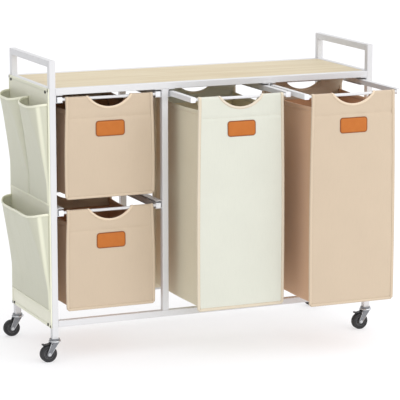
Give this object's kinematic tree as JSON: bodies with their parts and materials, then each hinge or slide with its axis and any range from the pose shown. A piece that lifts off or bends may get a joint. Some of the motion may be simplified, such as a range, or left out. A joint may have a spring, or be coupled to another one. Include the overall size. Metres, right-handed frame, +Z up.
{
  "type": "laundry sorter on wheels",
  "caption": "Rolling laundry sorter: square-tube frame with end handles, wooden top, pull-out fabric bags, side pockets and braked swivel casters.",
  "frame": {"origin": "on the floor below the middle of the whole sorter, with the bags where they stand at rest", "axes": "+X to the right seen from the front, +Y from the front to the back, +Z up"},
  "size_m": [1.1054, 0.598, 0.883],
  "materials": {
    "white_frame": "white powder coat, satin",
    "wood_board": "pale maple grain, matte",
    "tan_fabric": "coated woven polyester, matte",
    "cream_fabric": "coated woven polyester, matte",
    "organizer_fabric": "coated woven polyester, matte",
    "label_leather": "smooth tan leatherette",
    "zinc_hardware": "zinc plated",
    "dark_screws": "black oxide",
    "white_plastic": "moulded nylon",
    "wheel_hub": "moulded",
    "wheel_tyre": "moulded rubber",
    "brake_plastic": "moulded"
  },
  "bodies": {
    "frame": {"post_front_left": "white_frame", "post_rear_left": "white_frame", "post_front_right": "white_frame", "post_rear_right": "white_frame", "middle_posts": "white_frame", "handle_bar_left": "white_frame", "handle_bar_right": "white_frame", "top_rail_front": "white_frame", "top_rail_rear": "white_frame", "bottom_rail_front": "white_frame", "bottom_rail_rear": "white_frame", "end_rails": "white_frame", "top_board": "wood_board", "upper_channels": "white_frame", "lower_channels": "white_frame", "tall_left_channels": "white_frame", "tall_right_channels": "white_frame", "organizer_panel": "organizer_fabric", "pocket_upper_front": "organizer_fabric", "pocket_upper_rear": "organizer_fabric", "pocket_lower": "organizer_fabric", "frame_bolts": "zinc_hardware", "channel_screws": "zinc_hardware", "organizer_screws": "dark_screws", "post_plugs": "white_plastic", "caster_stems": "zinc_hardware"},
    "upper_drawer": {"upper_slide_frame": "white_frame", "upper_glides": "white_plastic", "upper_bag": "tan_fabric", "upper_label": "label_leather"},
    "lower_drawer": {"lower_slide_frame": "white_frame", "lower_glides": "white_plastic", "lower_bag": "tan_fabric", "lower_label": "label_leather"},
    "tall_left_drawer": {"tall_left_slide_frame": "white_frame", "tall_left_glides": "white_plastic", "tall_left_bag": "cream_fabric", "tall_left_label": "label_leather"},
    "tall_right_drawer": {"tall_right_slide_frame": "white_frame", "tall_right_glides": "white_plastic", "tall_right_bag": "tan_fabric", "tall_right_label": "label_leather"},
    "front_left_swivel": {"caster_front_left_fork": "zinc_hardware", "caster_front_left_axle": "zinc_hardware"},
    "front_left_wheel": {"caster_front_left_hub": "wheel_hub", "caster_front_left_tyre": "wheel_tyre"},
    "front_left_brake": {"caster_front_left_brake": "brake_plastic"},
    "rear_left_swivel": {"caster_rear_left_fork": "zinc_hardware", "caster_rear_left_axle": "zinc_hardware"},
    "rear_left_wheel": {"caster_rear_left_hub": "wheel_hub", "caster_rear_left_tyre": "wheel_tyre"},
    "front_right_swivel": {"caster_front_right_fork": "zinc_hardware", "caster_front_right_axle": "zinc_hardware"},
    "front_right_wheel": {"caster_front_right_hub": "wheel_hub", "caster_front_right_tyre": "wheel_tyre"},
    "front_right_brake": {"caster_front_right_brake": "brake_plastic"},
    "rear_right_swivel": {"caster_rear_right_fork": "zinc_hardware", "caster_rear_right_axle": "zinc_hardware"},
    "rear_right_wheel": {"caster_rear_right_hub": "wheel_hub", "caster_rear_right_tyre": "wheel_tyre"}
  },
  "joints": [
    {"name": "upper_slide", "type": "slide", "parent": "frame", "child": "upper_drawer", "axis": [0, -1, 0], "range_m": [0, 0.24]},
    {"name": "lower_slide", "type": "slide", "parent": "frame", "child": "lower_drawer", "axis": [0, -1, 0], "range_m": [0, 0.24]},
    {"name": "tall_left_slide", "type": "slide", "parent": "frame", "child": "tall_left_drawer", "axis": [0, -1, 0], "range_m": [-0.158, 0.082]},
    {"name": "tall_right_slide", "type": "slide", "parent": "frame", "child": "tall_right_drawer", "axis": [0, -1, 0], "range_m": [-0.23, 0.01]},
    {"name": "front_left_swivel_turn", "type": "hinge", "parent": "frame", "child": "front_left_swivel", "pos_m": [-0.48325, -0.057, 0.0628], "axis": [0, 0, 1], "continuous": true},
    {"name": "front_left_wheel_spin", "type": "hinge", "parent": "front_left_swivel", "child": "front_left_wheel", "pos_m": [-0.50325, -0.057, 0.025], "axis": [0, 1, 0], "continuous": true},
    {"name": "front_left_brake_press", "type": "hinge", "parent": "front_left_swivel", "child": "front_left_brake", "pos_m": [-0.49425, -0.057, 0.055], "axis": [0, -1, 0], "range_deg": [0, 7]},
    {"name": "rear_left_swivel_turn", "type": "hinge", "parent": "frame", "child": "rear_left_swivel", "pos_m": [-0.48325, 0.282, 0.0628], "axis": [0, 0, 1], "continuous": true},
    {"name": "rear_left_wheel_spin", "type": "hinge", "parent": "rear_left_swivel", "child": "rear_left_wheel", "pos_m": [-0.50325, 0.282, 0.025], "axis": [0, 1, 0], "continuous": true},
    {"name": "front_right_swivel_turn", "type": "hinge", "parent": "frame", "child": "front_right_swivel", "pos_m": [0.53375, -0.057, 0.0628], "axis": [0, 0, 1], "continuous": true},
    {"name": "front_right_wheel_spin", "type": "hinge", "parent": "front_right_swivel", "child": "front_right_wheel", "pos_m": [0.51375, -0.057, 0.025], "axis": [0, 1, 0], "continuous": true},
    {"name": "front_right_brake_press", "type": "hinge", "parent": "front_right_swivel", "child": "front_right_brake", "pos_m": [0.52275, -0.057, 0.055], "axis": [0, -1, 0], "range_deg": [0, 7]},
    {"name": "rear_right_swivel_turn", "type": "hinge", "parent": "frame", "child": "rear_right_swivel", "pos_m": [0.53375, 0.282, 0.0628], "axis": [0, 0, 1], "continuous": true},
    {"name": "rear_right_wheel_spin", "type": "hinge", "parent": "rear_right_swivel", "child": "rear_right_wheel", "pos_m": [0.51375, 0.282, 0.025], "axis": [0, 1, 0], "continuous": true}
  ]
}
